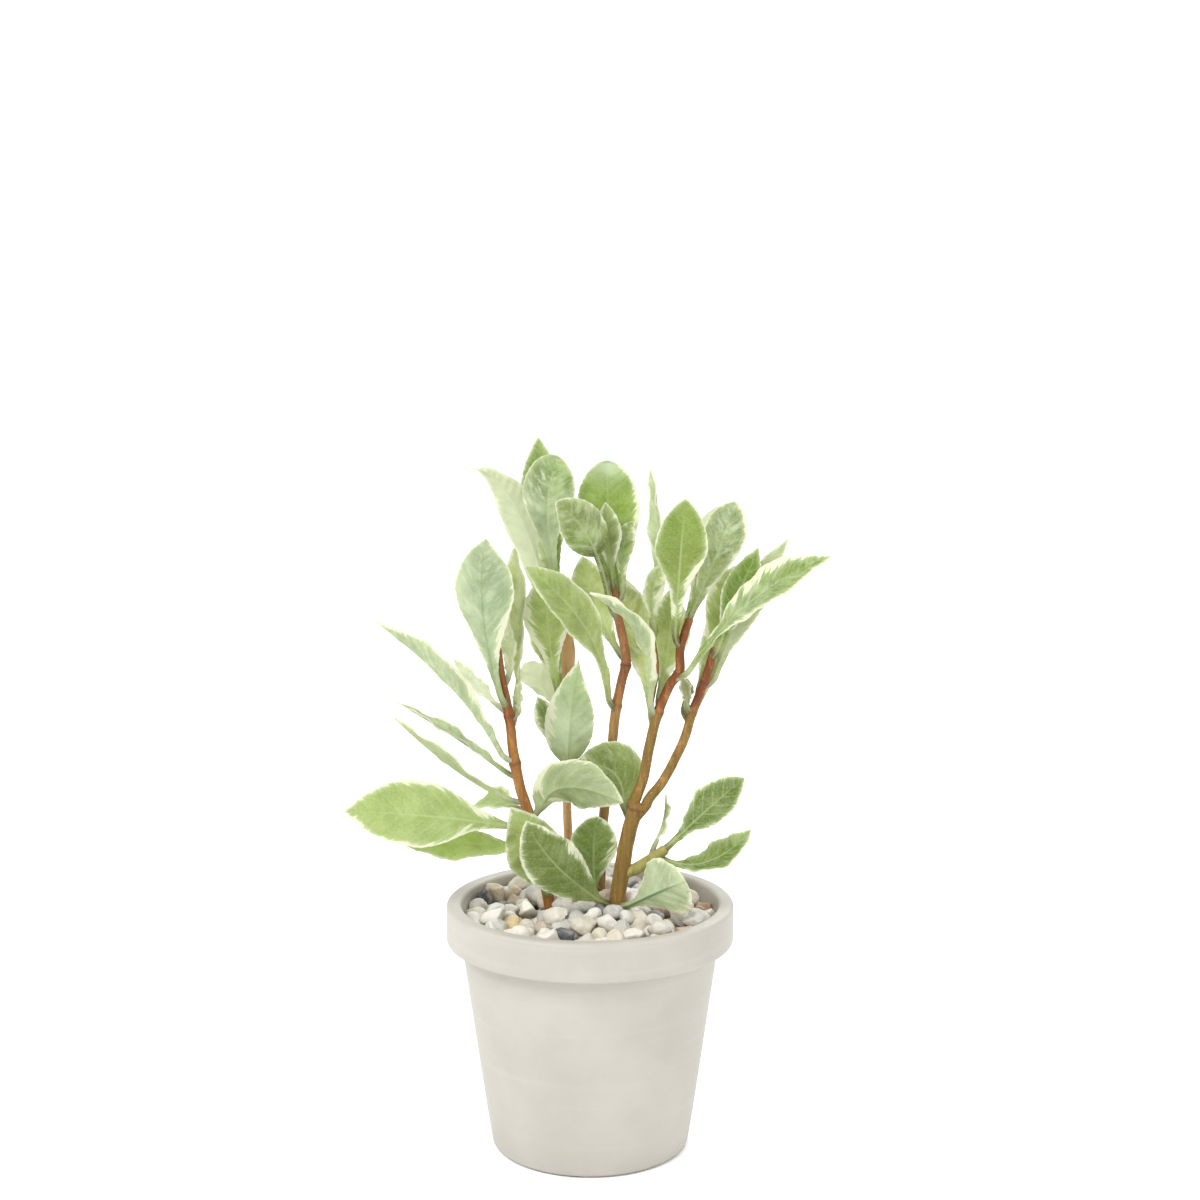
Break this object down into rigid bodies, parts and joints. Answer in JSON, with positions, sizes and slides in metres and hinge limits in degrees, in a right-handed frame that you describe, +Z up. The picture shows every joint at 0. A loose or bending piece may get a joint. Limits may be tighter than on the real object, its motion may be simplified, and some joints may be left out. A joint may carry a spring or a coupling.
{
  "type": "potted ludwigia",
  "caption": "Small variegated water plant with pairs of toothed green and cream leaves on red-brown stems, planted in pale gravel in a plain round pot.",
  "frame": {"origin": "middle of the pot's flat base, on the surface that it stands on", "axes": "+Z up along the pot's axis, +X to the right and -Y towards the viewer, seen as in the picture"},
  "size_m": [0.085, 0.052, 0.128],
  "materials": {
    "pot": "fine matt moulded surface",
    "gravel": "washed pale quartz stones, slightly translucent",
    "stem": "smooth living stem, red-brown above and ochre below",
    "leaf": "green with cream feathered margins, soft satin, pale below"
  },
  "bodies": {
    "root": {"pot": "pot", "gravel": "gravel", "left_stem": "stem", "back_stem": "stem", "middle_stem": "stem", "main_stem": "stem", "left_fork": "stem", "right_fork": "stem", "foot_shoot": "stem", "axil_shoot": "stem", "left_leaf_1": "leaf", "left_leaf_2": "leaf", "left_leaf_3": "leaf", "left_leaf_4": "leaf", "left_leaf_5": "leaf", "left_leaf_6": "leaf", "left_leaf_7": "leaf", "left_leaf_8": "leaf", "left_leaf_9": "leaf", "left_leaf_10": "leaf", "foot_leaf_1": "leaf", "foot_leaf_2": "leaf", "foot_leaf_3": "leaf", "foot_leaf_4": "leaf", "foot_leaf_5": "leaf", "foot_leaf_6": "leaf", "foot_leaf_7": "leaf", "foot_leaf_8": "leaf", "foot_leaf_9": "leaf", "back_leaf_1": "leaf", "back_leaf_2": "leaf", "back_leaf_3": "leaf", "back_leaf_4": "leaf", "back_leaf_5": "leaf", "back_leaf_6": "leaf", "back_leaf_7": "leaf", "back_leaf_8": "leaf", "back_leaf_9": "leaf", "main_leaf_1": "leaf", "middle_leaf_1": "leaf", "middle_leaf_2": "leaf", "middle_leaf_3": "leaf", "middle_leaf_4": "leaf", "middle_leaf_5": "leaf", "middle_leaf_6": "leaf", "fork_leaf_1": "leaf", "fork_leaf_2": "leaf", "fork_leaf_3": "leaf", "fork_leaf_4": "leaf", "fork_leaf_5": "leaf", "fork_leaf_6": "leaf", "fork_leaf_7": "leaf", "shoot_leaf_1": "leaf", "shoot_leaf_2": "leaf", "right_leaf_1": "leaf", "right_leaf_2": "leaf", "right_leaf_3": "leaf", "right_leaf_4": "leaf", "right_leaf_5": "leaf", "right_leaf_6": "leaf"}
  },
  "joints": []
}
